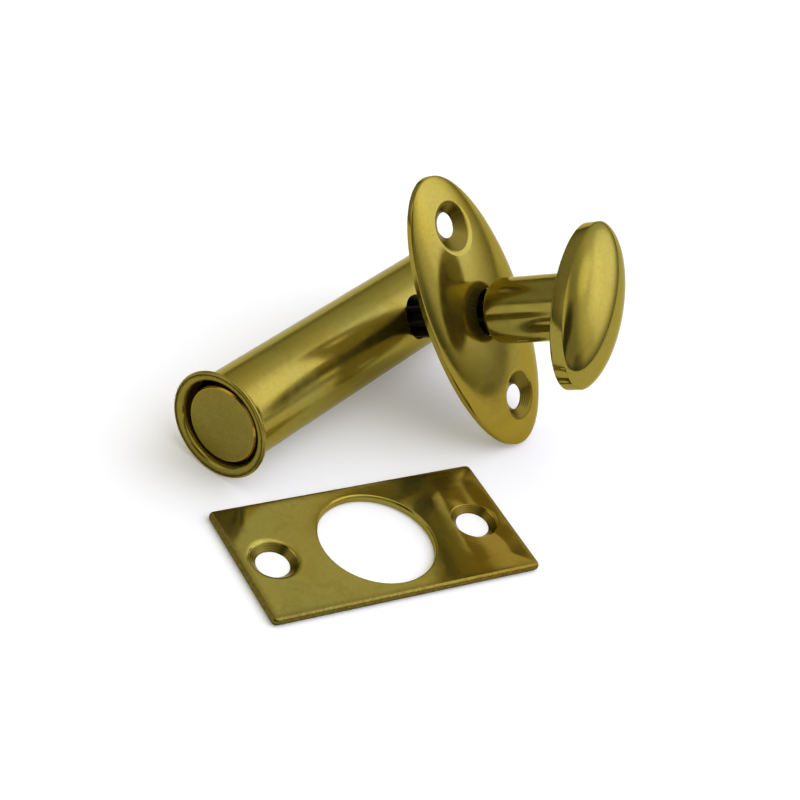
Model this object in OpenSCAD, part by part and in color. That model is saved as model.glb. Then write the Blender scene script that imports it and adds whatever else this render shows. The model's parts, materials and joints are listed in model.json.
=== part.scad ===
// Mortise bolt: a round barrel with a flared rim, worked by an oval thumb turn through a
// domed rose, with the flat strike plate that takes the bolt lying loose in front of it.
//
// Each piece of the bolt is drawn in the bolt's own axes. X runs along the spindle towards
// the knob, Y along the barrel towards its closed end, and Z is up when the spindle is
// level. Spindle and barrel cross at the origin of these axes. The strike is drawn in its
// own axes, X along its length and Z up from its back. At the end of the file both are
// stood on the ground, Z = 0, with the bolt resting on its rim, rose and spindle end.

/* [Barrel] */
// Outside diameter of the barrel tube
barrel_d = 16; // [15.5:0.1:17]
// Wall thickness of the barrel tube
barrel_wall = 0.55; // [0.5:0.05:0.8]
// Outside diameter of the flared rim
rim_d = 19.4; // [18.5:0.1:21]
// Spindle axis to the face of the rim
backset = 48.9; // [44:0.1:60]
// Spindle axis to the closed end of the barrel
rear_len = 18.6; // [18.6:0.1:24]
// Length over which the tube flares out to the rim
flare_len = 2.6; // [2:0.1:4]
// Radius of the rim's rounded outer edge
rim_edge_r = 0.45; // [0.3:0.05:0.6]
// Radius of the rounded lip where the bore opens at the rim
mouth_r = 0.7; // [0.4:0.05:0.8]
// Thickness of the cap that closes the barrel
cap_t = 2.4; // [2:0.1:2.6]
// Length of the tube's edge that is rolled in behind the cap
crimp_t = 0.6; // [0.4:0.1:0.8]
// How far the rolled edge reaches in over the cap
crimp_h = 0.6; // [0.4:0.1:1]

/* [Bolt and rack] */
// Radial clearance of the bolt in the barrel, where it lies on the bottom of the bore
bolt_gap = 0.5; // [0.2:0.05:0.6]
// How far the bolt's end stands behind the rim's face when it is drawn back
bolt_recess = 1.2; // [0.5:0.1:2]
// Chamfer on the bolt's end
bolt_chamfer = 0.25; // [0.2:0.05:0.8]
// Throw of the bolt
throw = 12.7; // [12:0.1:12.7]
// Diameter of the pin that guides the bolt
guide_pin_d = 2; // [1.5:0.1:2.5]
// Spindle axis to the guide pin
guide_pin_y = 38; // [34:0.5:40]
// Depth of the guide groove in the bolt
groove_depth = 1.8; // [1.5:0.1:2.2]

/* [Spindle] */
// Number of teeth on the star spindle
teeth = 8; // [7:1:9]
// Flank angle of the rack's teeth
flank = 25; // [24:1:27]
// Outside diameter of the star spindle
spindle_d = 8; // [7.9:0.05:8]
// Diameter at the foot of the spindle's teeth
spindle_root_d = 5; // [4.8:0.1:5]
// Radial clearance of the spindle in the barrel's side holes
spindle_gap = 0.06; // [0.03:0.01:0.1]
// How far the spindle reaches past its crossing with the barrel, on the far side
tail_len = 10.6; // [10:0.1:12]
// Chamfer on the spindle's far end
tail_chamfer = 0.5; // [0.3:0.1:0.8]
// Play between the teeth of spindle and rack, on each flank
backlash = 0.06; // [0.05:0.01:0.1]

/* [Rose] */
// Length of the oval rose
rose_l = 53; // [50:0.2:57]
// Width of the oval rose
rose_w = 26; // [24:0.2:28]
// Height of the rose at its middle
rose_h = 4.3; // [4:0.1:5]
// Height of the rose's upright edge
rose_edge = 1; // [0.8:0.1:1.4]
// Thickness of metal in the rose
rose_wall = 2; // [1.6:0.1:2.2]
// Roundness of the dome, from 0.3 for a shallow bow to 1 for a full half oval
rose_bow = 0.8; // [0.5:0.05:0.9]
// Spindle and barrel crossing to the back of the rose
rose_x = 19.5; // [17:0.1:22]
// Turn of the rose's long axis off upright, lower tip towards the barrel's closed end
rose_turn = 9.7; // [0:0.1:20]
// Diameter of the rose's middle hole
rose_hole_d = 9; // [8.6:0.1:10]
// Distance between the rose's two screw holes
rose_screws = 35.4; // [33:0.5:38]

/* [Thumb turn] */
// Diameter of the turn's round shank
shank_d = 11.6; // [10:0.1:13]
// Spindle and barrel crossing to the shank's end by the rose
shank_x = 25.6; // [25.2:0.1:27]
// Spindle and barrel crossing to the back of the knob
knob_x = 41.7; // [38:0.1:46]
// Length of the oval knob
knob_l = 30.2; // [26:0.1:34]
// Width of the oval knob
knob_w = 15.3; // [14:0.1:20]
// Height of the knob's upright side
knob_side = 3.3; // [2.5:0.1:4]
// Height of the knob's bowed face above its side
knob_bow_h = 4.2; // [3:0.1:5]
// Roundness of the knob's face, from 0.3 for a shallow bow to 1 for a full half oval
knob_bow = 0.8; // [0.5:0.05:0.95]
// Turn of the knob's long axis off upright, top towards the barrel's closed end
knob_turn = 42.4; // [0:0.1:90]
// Depth of the spindle's socket in the shank
socket_depth = 6; // [5:0.1:8]
// Diameter of the shank's spigot in the knob
spigot_d = 6; // [5:0.1:7]
// Length of the shank's spigot in the knob
spigot_len = 2.6; // [2:0.1:3]

/* [Strike] */
// Length of the strike plate
strike_l = 51.2; // [50:0.2:56]
// Width of the strike plate
strike_w = 25.6; // [25:0.2:34]
// Thickness of the strike plate
strike_t = 1.5; // [1.5:0.1:2.5]
// Diameter of the hole that takes the bolt
strike_hole_d = 20.2; // [19:0.1:21]
// Distance between the strike's two screw holes
strike_screws = 38.8; // [37:0.1:39]
// Radius of the strike's corners
strike_corner = 1; // [0.5:0.1:2]
// Radius of the strike's softened upper edges
strike_edge = 0.5; // [0.3:0.1:0.7]
// Middle of the strike from the crossing of spindle and barrel, sideways
strike_dx = 30.1; // [28:0.1:36]
// Middle of the strike from the crossing of spindle and barrel, forwards
strike_dy = 40.3; // [36:0.1:46]
// Turn of the strike's length from the X axis
strike_turn = 64.9; // [50:0.1:80]

/* [Screws] */
// Diameter of the screw holes in the rose
rose_screw_d = 4.3; // [4:0.1:4.8]
// Diameter of the screw holes in the strike
strike_screw_d = 5.2; // [4:0.1:5.6]
// Diameter of the countersinks in the rose
rose_sink_d = 8.5; // [8:0.1:9]
// Diameter of the dished countersinks in the strike
strike_sink_d = 9; // [8:0.1:9.4]

/* [Hidden] */

$fn = 96;
// Steps in a rounded edge, steps in a bowed face, and sides of an oval
edge_steps = 6;
bow_steps = 12;
oval_sides = 72;
// Small overlap that carries a cut past a face
past = 0.5;

barrel_r = barrel_d / 2;
bore_r = barrel_r - barrel_wall;
rim_r = rim_d / 2;
bolt_r = bore_r - bolt_gap;
bolt_front = backset - bolt_recess;
guide_pin_r = guide_pin_d / 2;
pin_gap = 0.1;

// The spindle's teeth are involutes on a base circle, so that a straight-flanked rack
// drives smoothly. The rack's pitch line lies one pitch radius below the spindle.
spindle_r = spindle_d / 2;
root_r = spindle_root_d / 2;
tooth_rise = 0.69;
pitch_r = spindle_r - tooth_rise;
pitch = 2 * PI * pitch_r / teeth;
base_r = pitch_r * cos(flank);
rack_tip = 0.55;
rack_root = 0.85;
step_y = -(spindle_r + 0.6);
rack_end = throw + 2.1;

rose_a = rose_l / 2;
rose_b = rose_w / 2;
rose_rim = 1.6;
knob_a = knob_l / 2;
knob_b = knob_w / 2;
rose_screw_r = rose_screw_d / 2;
strike_screw_r = strike_screw_d / 2;
spindle_end = shank_x + socket_depth;

brass = [0.62, 0.55, 0.24];
dull_brass = [0.5, 0.44, 0.18];
blackened = [0.08, 0.08, 0.09];
steel = [0.6, 0.6, 0.62];

// Points of an arc about a centre, from one angle to another
function arc(centre, r, from, to, steps = edge_steps) = [
    for (i = [0:steps]) let (a = from + (to - from) * i / steps) centre + r * [cos(a), sin(a)]
];

// Height of a bowed face at a distance from its middle, for an edge at distance 1.
// The bow is part of a circle that rises to 1 at the middle.
function bow_height(q, bow) =
    let (r = (1 + bow * bow) / (2 * bow)) (sqrt(r * r - q * q) - r + bow) / bow;

// Outline of a bowed face from its edge to near its middle, in distance and height
function bow_points(edge_q, low, high, bow) = [
    for (i = [0:bow_steps - 1]) let (q = edge_q * cos(90 * i / (bow_steps - 0.5)))
        [q, low + (high - low) * (bow_height(q, bow) - bow_height(edge_q, bow))
            / (1 - bow_height(edge_q, bow))]
];

// Turned shapes are drawn as distance from the axis against height, then laid along
// the barrel towards the rim or along the spindle towards the knob.
module along_barrel() {
    rotate([90, 0, 0]) children();
}

module along_spindle() {
    rotate([90, 0, 90]) children();
}

// Barrel tube with its trumpet flare, rounded rim and mouth, and rolled rear edge
module barrel_tube() {
    flare_start = backset - flare_len;
    edge_centre = [rim_r - rim_edge_r, backset - rim_edge_r];
    flare_rise = edge_centre[0] - barrel_r;
    flare_run = flare_len - 2 * rim_edge_r;
    flare = [
        for (i = [1:edge_steps]) let (a = 90 * i / (edge_steps + 1))
            [barrel_r + flare_rise * (1 - cos(a)), flare_start + flare_run * sin(a)]
    ];
    profile = concat(
        [[bore_r - crimp_h, -rear_len]],
        arc([barrel_r - crimp_t, crimp_t - rear_len], crimp_t, -90, 0),
        [[barrel_r, flare_start]],
        flare,
        arc(edge_centre, rim_edge_r, -90, 90),
        arc([bore_r + mouth_r, backset - mouth_r], mouth_r, 90, 180),
        [[bore_r, crimp_t - rear_len], [bore_r - crimp_h, crimp_t - rear_len]]
    );
    color(brass)
    difference() {
        along_barrel() rotate_extrude() polygon(profile);
        rotate([0, 90, 0]) cylinder(r = spindle_r + spindle_gap, h = 2 * barrel_d, center = true);
        translate([-barrel_d, -guide_pin_y, 0]) rotate([0, 90, 0]) cylinder(r = guide_pin_r, h = barrel_d);
    }
}

// Cap held in the barrel's end by the rolled edge
module barrel_cap() {
    color(dull_brass)
    along_barrel() translate([0, 0, crimp_t - rear_len]) cylinder(r = bore_r, h = cap_t);
}

// Pin through the far wall of the barrel that runs in the bolt's groove
module guide_pin() {
    outer_x = -barrel_r + pin_gap;
    inner_x = -bore_r + groove_depth;
    color(steel)
    translate([outer_x, -guide_pin_y, 0]) rotate([0, 90, 0]) cylinder(r = guide_pin_r, h = inner_x - outer_x);
}

// Round bolt, cut away behind to a rack that lies below the spindle
module bolt() {
    profile = [
        [0, -rack_end], [bolt_r - bolt_chamfer, -rack_end], [bolt_r, bolt_chamfer - rack_end],
        [bolt_r, bolt_front - bolt_chamfer], [bolt_r - bolt_chamfer, bolt_front], [0, bolt_front]
    ];
    color(dull_brass)
    difference() {
        translate(bolt_drop) along_barrel() rotate_extrude() polygon(profile);
        rack_cut();
        guide_groove();
    }
}

// Everything above the rack's teeth, from the step in front of the spindle to the rear
module rack_cut() {
    tip_half = pitch / 4 + backlash + rack_tip * tan(flank);
    root_half = pitch / 4 + backlash - rack_root * tan(flank);
    tip_z = rack_tip - pitch_r;
    root_z = -rack_root - pitch_r;
    gaps = [for (k = [-1:floor(throw / pitch) + 1]) k * pitch];
    line = [
        for (y = gaps)
            each [[y - tip_half, tip_z], [y - root_half, root_z], [y + root_half, root_z], [y + tip_half, tip_z]]
    ];
    rotate([90, 0, 90])
    linear_extrude(2 * barrel_d, center = true)
        polygon(concat([[step_y, tip_z]], line, [[rack_end + past, tip_z], [rack_end + past, barrel_r], [step_y, barrel_r]]));
}

// Straight groove with round ends in the far side of the bolt, as long as the throw
module guide_groove() {
    width = guide_pin_d + 2 * pin_gap;
    floor_x = -bore_r + groove_depth + pin_gap;
    translate([floor_x - bore_r, -guide_pin_y, 0]) {
        for (y = [0, throw]) translate([0, y, 0]) rotate([0, 90, 0]) cylinder(d = width, h = bore_r);
        translate([0, 0, -width / 2]) cube([bore_r, throw, width]);
    }
}

// Half the angle that a spindle tooth spans at a radius
function involute(a) = tan(a) - a * PI / 180;
function half_tooth(r) =
    let (pitch_half = (pitch / 4 - backlash) / pitch_r, a = r > base_r ? acos(base_r / r) : 0)
    (pitch_half + involute(flank) - involute(a)) * 180 / PI;

// Star section of the spindle, with one tooth pointing down at the rack
module star() {
    radii = [root_r, base_r, for (i = [1:4]) base_r + (spindle_r - base_r) * i / 4];
    rising = [for (r = radii) [r, -half_tooth(r)]];
    falling = [for (i = [len(radii) - 1:-1:0]) [radii[i], half_tooth(radii[i])]];
    polygon([
        for (k = [0:teeth - 1], p = concat(rising, falling))
            let (a = k * 360 / teeth - 90 + p[1]) p[0] * [cos(a), sin(a)]
    ]);
}

// Star spindle from its free end to the foot of the shank's socket
module spindle() {
    color(blackened)
    intersection() {
        along_spindle() translate([0, 0, -tail_len]) linear_extrude(spindle_end + tail_len) star();
        along_spindle() rotate_extrude() polygon([
            [0, -tail_len], [spindle_r - tail_chamfer, -tail_len], [spindle_r + past, tail_chamfer + past - tail_len],
            [spindle_r + past, spindle_end], [0, spindle_end]
        ]);
    }
}

// Round shank with a socket for the spindle and a spigot for the knob
module turn_shank() {
    r = shank_d / 2;
    end_round = 0.9;
    foot_round = 0.3;
    profile = concat(
        [[0, shank_x]],
        arc([r - end_round, shank_x + end_round], end_round, -90, 0),
        arc([r - foot_round, knob_x - foot_round], foot_round, 0, 90),
        [[spigot_d / 2, knob_x], [spigot_d / 2, knob_x + spigot_len], [0, knob_x + spigot_len]]
    );
    color(brass)
    difference() {
        along_spindle() rotate_extrude() polygon(profile);
        translate([shank_x - past, 0, 0]) rotate([0, 90, 0]) cylinder(r = spindle_r - 0.02, h = socket_depth + past);
    }
}

// Solid whose level outlines are all ovals of one shape, given its half width, its half
// length, and its outline from bottom to top as shares of those against height
module oval_solid(b, a, outline) {
    n = oval_sides;
    last = len(outline) - 1;
    points = [
        for (p = outline, i = [0:n - 1]) let (t = 360 * i / n) [p[0] * b * cos(t), p[0] * a * sin(t), p[1]]
    ];
    bottom = [for (i = [0:n - 1]) i];
    top = [for (i = [n - 1:-1:0]) last * n + i];
    sides = [
        for (k = [0:last - 1], i = [0:n - 1]) let (low = k * n, high = low + n, j = (i + 1) % n)
            [low + i, high + i, high + j, low + j]
    ];
    polyhedron(points, concat([bottom], sides, [top]));
}

// Oval knob with an upright side and a bowed face
module turn_knob() {
    // Rounded edges, as shares of the half width, and their heights
    back = 0.07;
    back_h = 0.5;
    crease = 0.035;
    crease_h = 0.25;
    outline = concat(
        [for (p = arc([0, 0], 1, -90, 0, 3)) [1 - back + back * p[0], back_h + back_h * p[1]]],
        [for (p = arc([0, 0], 1, 0, 60, 3)) [1 - crease + crease * p[0], knob_side - crease_h + crease_h * p[1]]],
        bow_points(1 - crease, knob_side, knob_side + knob_bow_h, knob_bow)
    );
    color(brass)
    difference() {
        translate([knob_x, 0, 0]) rotate([-knob_turn, 0, 0]) along_spindle() oval_solid(knob_b, knob_a, outline);
        translate([knob_x - past, 0, 0]) rotate([0, 90, 0]) cylinder(d = spigot_d, h = spigot_len + past);
    }
}

// Domed oval rose, hollow behind, with a middle hole and two countersunk screw holes
module rose() {
    // Rounding of the upright edge, as a share of the half width, and its height
    soft = 0.03;
    soft_h = 0.35;
    outside = concat(
        [[1, 0]],
        [for (p = arc([0, 0], 1, 0, 60, 3)) [1 - soft + soft * p[0], rose_edge - soft_h + soft_h * p[1]]],
        bow_points(1 - soft, rose_edge, rose_h, rose_bow)
    );
    inside = bow_points(1, past, past + rose_h - rose_wall, rose_bow);
    sink_z = rose_edge + (rose_h - rose_edge) * bow_height(rose_screws / rose_l, rose_bow);
    sink_depth = rose_wall - 0.6;
    sink_rise = (rose_sink_d / 2 - rose_screw_r) / sink_depth;
    color(brass)
    translate([rose_x, 0, 0]) rotate([rose_turn, 0, 0]) along_spindle()
    difference() {
        oval_solid(rose_b, rose_a, outside);
        translate([0, 0, -past]) oval_solid(rose_b - rose_rim, rose_a - rose_rim, concat([[1, 0]], inside));
        translate([0, 0, -past]) cylinder(d = rose_hole_d, h = rose_h + 2 * past);
        for (y = [-rose_screws / 2, rose_screws / 2]) translate([0, y, 0]) {
            translate([0, 0, -past]) cylinder(r = rose_screw_r, h = rose_h + 2 * past);
            translate([0, 0, sink_z - sink_depth])
                cylinder(r1 = rose_screw_r, r2 = rose_screw_r + sink_rise * 2 * sink_depth, h = 2 * sink_depth);
        }
    }
}

// Flat strike plate with softened upper edges, a lipped hole and two dished screw holes
module strike_plate() {
    color(brass)
    difference() {
        intersection() {
            linear_extrude(strike_t) rounded_rectangle(strike_l, strike_w, strike_corner);
            rotate([90, 0, 0]) linear_extrude(strike_w + 2, center = true) plate_section(strike_l);
            rotate([90, 0, 90]) linear_extrude(strike_l + 2, center = true) plate_section(strike_w);
        }
        lipped_hole(strike_hole_d / 2, strike_edge);
        for (x = [-strike_screws / 2, strike_screws / 2]) translate([x, 0, 0]) dished_hole();
    }
}

module rounded_rectangle(l, w, r) {
    polygon([
        for (q = [[1, 1, 0], [-1, 1, 90], [-1, -1, 180], [1, -1, 270]])
            each arc([q[0] * (l / 2 - r), q[1] * (w / 2 - r)], r, q[2], q[2] + 90)
    ]);
}

// Section across the plate: square below, rounded above
module plate_section(width) {
    half = width / 2;
    polygon(concat(
        [[-half, 0], [half, 0]],
        arc([half - strike_edge, strike_t - strike_edge], strike_edge, 0, 90),
        arc([strike_edge - half, strike_t - strike_edge], strike_edge, 90, 180)
    ));
}

// Tool for a round hole whose upper edge is rounded over
module lipped_hole(r, lip) {
    rotate_extrude() polygon(concat(
        [[0, -past], [r, -past]],
        arc([r + lip, strike_t - lip], lip, 180, 90),
        [[r + lip, strike_t + past], [0, strike_t + past]]
    ));
}

// Tool for a screw hole that opens upwards in a soft dish
module dished_hole() {
    lip = 0.6;
    land = 0.5;
    slope = 45;
    sink_r = strike_sink_d / 2;
    lip_centre = [sink_r, strike_t - lip];
    lip_foot = lip_centre + lip * [-cos(slope), sin(slope)];
    cone_top = lip_foot;
    cone_foot = [strike_screw_r, max(land, cone_top[1] - (cone_top[0] - strike_screw_r) * tan(slope))];
    rotate_extrude() polygon(concat(
        [[0, -past], [strike_screw_r, -past], cone_foot],
        arc(lip_centre, lip, 180 - slope, 90),
        [[sink_r, strike_t + past], [0, strike_t + past]]
    ));
}

// The bolt rests on three edges: the rim's, the rose's and the spindle's far end's.
// Each is an oval given by its centre and its two half axes. The plane under them is
// found in a few steps, each through the lowest points for the plane before it.
supports = [
    [[0, rim_edge_r - backset, 0], [rim_r, 0, 0], [0, 0, rim_r]],
    [[rose_x, 0, 0], rose_a * [0, -sin(rose_turn), cos(rose_turn)], rose_b * [0, cos(rose_turn), sin(rose_turn)]],
    [[tail_chamfer - tail_len, 0, 0], [0, spindle_r, 0], [0, 0, spindle_r]]
];
function unit(v) = v / norm(v);
function reach(oval, way) = let (s = [oval[1] * way, oval[2] * way])
    oval[0] + (s[0] * oval[1] + s[1] * oval[2]) / norm(s);
function ground_normal(n, steps = 8) = steps == 0 ? n :
    let (p = [for (oval = supports) reach(oval, -n)])
    ground_normal(unit(cross(p[1] - p[0], p[2] - p[0])), steps - 1);

// Axes of the ground seen from the bolt, with the barrel's rim towards -Y
up = ground_normal(unit([0.6, 0, 0.8]));
back = unit([0, 1, 0] - up[1] * up);
right = cross(back, up);
lift = -(reach(supports[0], -up) * up);

// The bolt lies on the bottom of its bore, all but a slip of clearance
bolt_slip = 0.05;
bolt_drop = -(bolt_gap - bolt_slip) * unit([up[0], 0, up[2]]);

// The whole stands with the middle of its footprint at the origin. Its sides are set by
// the strike's corners, the barrel's closed end and the spindle's far end.
function strike_reach(way) =
    (strike_l / 2 - strike_corner) * abs(cos(strike_turn) * way[0] + sin(strike_turn) * way[1])
    + (strike_w / 2 - strike_corner) * abs(cos(strike_turn) * way[1] - sin(strike_turn) * way[0])
    + strike_corner;
closed_end = [[0, rear_len - crimp_t, 0], [barrel_r, 0, 0], [0, 0, barrel_r]];
far_end = [[-tail_len, 0, 0], [0, spindle_r - tail_chamfer, 0], [0, 0, spindle_r - tail_chamfer]];
x_max = strike_dx + strike_reach([1, 0]);
x_min = reach(far_end, -right) * right;
y_max = reach(closed_end, back) * back;
y_min = -strike_dy - strike_reach([0, -1]);
middle = [(x_min + x_max) / 2, (y_min + y_max) / 2];

module stand_bolt() {
    multmatrix([
        [right[0], right[1], right[2], -middle[0]],
        [back[0], back[1], back[2], -middle[1]],
        [up[0], up[1], up[2], lift]
    ]) children();
}

module lay_strike() {
    translate([strike_dx - middle[0], -strike_dy - middle[1], 0]) rotate([0, 0, strike_turn]) children();
}

stand_bolt() barrel_tube();
stand_bolt() barrel_cap();
stand_bolt() guide_pin();
stand_bolt() bolt();
stand_bolt() spindle();
stand_bolt() turn_shank();
stand_bolt() turn_knob();
stand_bolt() rose();
lay_strike() strike_plate();
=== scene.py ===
"""Mortise bolt in polished brass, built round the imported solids, with its floor, light and camera.

Lengths are in millimetres in the pieces' own axes, and a matrix brings them into the row frame.
"""

import json
import math

import bmesh
import bpy
from mathutils import Matrix, Vector, noise
from mathutils.bvhtree import BVHTree
from mathutils.geometry import barycentric_transform


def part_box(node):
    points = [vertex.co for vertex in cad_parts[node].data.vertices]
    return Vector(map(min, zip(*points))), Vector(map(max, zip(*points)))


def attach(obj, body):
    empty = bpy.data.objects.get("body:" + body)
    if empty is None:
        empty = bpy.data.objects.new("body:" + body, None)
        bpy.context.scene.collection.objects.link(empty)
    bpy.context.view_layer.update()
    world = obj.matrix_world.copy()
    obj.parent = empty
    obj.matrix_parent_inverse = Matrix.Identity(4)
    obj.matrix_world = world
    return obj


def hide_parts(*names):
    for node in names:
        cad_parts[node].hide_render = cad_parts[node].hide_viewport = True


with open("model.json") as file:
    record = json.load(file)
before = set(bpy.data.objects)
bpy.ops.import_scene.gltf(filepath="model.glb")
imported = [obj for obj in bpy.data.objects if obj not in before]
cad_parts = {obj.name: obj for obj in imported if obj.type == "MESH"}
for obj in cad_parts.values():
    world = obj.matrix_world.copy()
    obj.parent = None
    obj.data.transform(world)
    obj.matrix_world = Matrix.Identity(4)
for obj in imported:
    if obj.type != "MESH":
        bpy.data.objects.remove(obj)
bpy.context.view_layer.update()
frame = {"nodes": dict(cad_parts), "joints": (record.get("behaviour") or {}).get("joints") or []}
nodes = frame["nodes"]
joints = {joint["name"]: joint for joint in frame["joints"]}
MM = 0.001

# Camera of the photograph, fitted to the outlines of the solids
CAMERA_PLACE = (0.116208, -0.254386, 0.234606)
CAMERA_TURN = (2.0767, 0.8203, -0.0630)
FOCAL_PIXELS = 2104.1
IMAGE_PIXELS = 800
SENSOR_MM = 36
NEAREST_SEEN = 0.01

# Rose, as in its solid but for a closer hole: its place on the spindle, dome, hollow and holes
ROSE_X = 19.5
ROSE_HALF_L = 26.5
ROSE_HALF_W = 13.0
ROSE_TURN = 9.7
ROSE_H = 4.3
ROSE_EDGE = 1.0
ROSE_WALL = 2.0
ROSE_RIM = 1.6
ROSE_BOW = 0.8
ROSE_HOLE_R = 4.2
ROSE_SCREW_Z = 17.7
ROSE_SCREW_R = 2.15
ROSE_SINK_R = 4.25

# Dark collar on the spindle, in the hollow of the rose, that stands in for the shade seen through the
# rose's hole
SHADE_COLLAR_X = ROSE_X + 2.5

# Knob, near to its solid but with a lower side and a higher bow: its place on the spindle and its shape
KNOB_X = 41.7
KNOB_HALF_L = 15.08
KNOB_HALF_W = 7.64
KNOB_TURN = -42.4
KNOB_SIDE = 2.94
KNOB_DOME = 4.54
KNOB_BOW = 0.8

# Strike, as in its solid but for a softer upper edge: plate, large hole and dished screw holes
STRIKE_L = 51.2
STRIKE_W = 25.6
STRIKE_T = 1.5
STRIKE_CORNER = 1.0
STRIKE_EDGE = 0.7
STRIKE_HOLE_R = 10.1
STRIKE_SCREW_X = 19.4
STRIKE_SCREW_R = 2.6
STRIKE_SINK_R = 4.5
STRIKE_TURN = 64.9

# Strike, shaped here: its face's grid, dents and bent right end, and its lower edge as inset against height
STRIKE_COLUMNS = 128
STRIKE_ROWS = 64
DENT_SPAN = 11
DENT_LAYER = 3.1
DENT_DEPTH = 0.035
SCREW_DENT_SPAN = 4
SCREW_DENT_LAYER = 7.7
SCREW_DENT_DEPTH = 0.03
SCREW_DENT_REACH = 4
FLAT_EDGE = 0.6
FLAT_EDGE_FADE = 3
BEND_X = 13.2
BEND_SLANT = 0.12
BEND_RUN = 2.5
BEND_GAIN = 3.6
LOWER_EDGE = [(0.02, 0.6), (0.12, 0.35), (0.3, 0.08), (0.4, 0)]

# Strike, marked here: the height and inset of the painted shade on its lower side, and the width of its
# darker, duller outer edge
SIDE_TOP = 0.95
SIDE_FADE = 0.3
SIDE_INSET = 0.5
DARK_EDGE = 1.6

# Radii within which the sunk screw holes show the rings of their turning and their painted shade
ROSE_TURNED_R = ROSE_SINK_R - 0.15
STRIKE_TURNED_R = STRIKE_SINK_R - 0.6

# Rim face, bore and bolt as in their solids, a mouth opened wider, and the fine line turned in the rim
RIM_FACE_R = 9.25
MOUTH_R = 7.8
BORE_R = 7.45
BOLT_R = 6.95
LINE_INNER_R = RIM_FACE_R - 0.2
LINE_OUTER_R = RIM_FACE_R + 0.02

# How far the cutters reach past what they cut
PAST = 1
# A face is a front one above this share of its normal along the way forward
FRONT_SHARE = -0.2
# A face is a back one below this share
BACK_SHARE = -0.3


def bolt_axes():
    """Matrix from the bolt's own axes, X along the spindle and Y along the barrel, to the row frame."""
    spindle = -Vector(joints["turn_spin"]["axis"])
    barrel = -Vector(joints["bolt_throw"]["axis"])
    turned = Matrix((spindle, barrel, spindle.cross(barrel))).transposed().to_4x4()
    return Matrix.Translation(Vector(joints["turn_spin"]["pos_m"])) @ turned @ Matrix.Scale(MM, 4)


def strike_axes():
    """Matrix from the strike's own axes, X along its length and Z up from its back, to the row frame."""
    low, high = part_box("strike_plate")
    middle = Vector(((low.x + high.x) / 2, (low.y + high.y) / 2, 0))
    turned = Matrix.Rotation(math.radians(STRIKE_TURN), 4, "Z")
    return Matrix.Translation(middle) @ turned @ Matrix.Scale(MM, 4)


BOLT_AXES = bolt_axes()
SPINDLE_WAY = (BOLT_AXES.to_3x3() @ Vector((1, 0, 0))).normalized()
BARREL_WAY = (BOLT_AXES.to_3x3() @ Vector((0, 1, 0))).normalized()
THIRD_WAY = SPINDLE_WAY.cross(BARREL_WAY)
UP = Vector((0, 0, 1))
STRIKE_AXES = strike_axes()
LENGTH_WAY = (STRIKE_AXES.to_3x3() @ Vector((1, 0, 0))).normalized()
WIDTH_WAY = UP.cross(LENGTH_WAY)


# Outlines and rings

def clamped(value):
    """The value, held within 0 and 1."""
    return min(1, max(0, value))


def arc(centre, radius, start, end, steps):
    """Points of an arc, angles in degrees."""
    turns = [math.radians(start + (end - start) * i / steps) for i in range(steps + 1)]
    return [(centre[0] + radius * math.cos(t), centre[1] + radius * math.sin(t)) for t in turns]


def bezier(a, b, c, steps):
    """Points of a curve from a to c that leaves and arrives along the lines to b."""
    points = []
    for i in range(steps + 1):
        s = i / steps
        points.append(tuple((1 - s) ** 2 * p + 2 * s * (1 - s) * q + s * s * r for p, q, r in zip(a, b, c)))
    return points


def bow(q, roundness):
    """Height of a circular bow that is 1 at its middle and 0 at its edge, and its slope."""
    r = (1 + roundness ** 2) / (2 * roundness)
    root = math.sqrt(r * r - q * q)
    return (root - r + roundness) / roundness, -q / root / roundness


def bowed_face(base, rise, roundness, edge_q, steps):
    """Outline of a bowed face, as shares of the half sizes against height, from its edge inwards."""
    shares = [edge_q * math.cos(math.radians(90 * i / steps)) for i in range(1, steps)]
    return [(q, base + rise * bow(q, roundness)[0]) for q in shares]


def creased_face(base, rise, roundness, crease_q, steps, fillet=0.22):
    """Outline of a bowed face with a soft crease between it and an upright side."""
    height, slope = bow(crease_q, roundness)
    crease = (crease_q, base + rise * height)
    corner = (1, crease[1] + rise * slope * (1 - crease_q))
    soft = bezier((1, corner[1] - fillet), corner, crease, 8)
    return soft + bowed_face(base, rise, roundness, crease_q, steps)


def oval_rings(outline, half_w, half_l, count):
    """Rings of an oval solid from its outline as shares of the half sizes against height."""
    turns = [2 * math.pi * i / count for i in range(count)]
    return [[(q * half_w * math.cos(t), q * half_l * math.sin(t), h) for t in turns] for q, h in outline]


def lathe_rings(outline, count):
    """Rings of a turned solid from its outline as radius against height."""
    return oval_rings(outline, 1, 1, count)


def moved(rings, matrix):
    """The rings, brought into the row frame by a matrix."""
    return [[matrix @ Vector(p) for p in ring] for ring in rings]


def on_spindle(x, turn=0):
    """Matrix that stands a piece's own axes on the spindle, at x along it and turned about it."""
    upright = Matrix(((0, 0, 1, 0), (1, 0, 0, 0), (0, 1, 0, 0), (0, 0, 0, 1)))
    turned = Matrix.Rotation(math.radians(turn), 4, "X")
    return BOLT_AXES @ Matrix.Translation((x, 0, 0)) @ turned @ upright


# Meshes

def mesh_of(name, points, faces, sharp_angle=None):
    """Mesh with outward normals and smooth faces, sharp where its faces meet at more than an angle."""
    mesh = bpy.data.meshes.new(name)
    mesh.from_pydata([tuple(p) for p in points], [], faces)
    work = bmesh.new()
    work.from_mesh(mesh)
    bmesh.ops.recalc_face_normals(work, faces=work.faces)
    work.to_mesh(mesh)
    work.free()
    mesh.shade_smooth()
    if sharp_angle:
        mesh.set_sharp_from_angle(angle=math.radians(sharp_angle))
    return mesh


def band(first, second):
    """Faces between two closed rings, each given by its points' numbers."""
    count = len(first)
    return [(first[k], first[(k + 1) % count], second[(k + 1) % count], second[k]) for k in range(count)]


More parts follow.
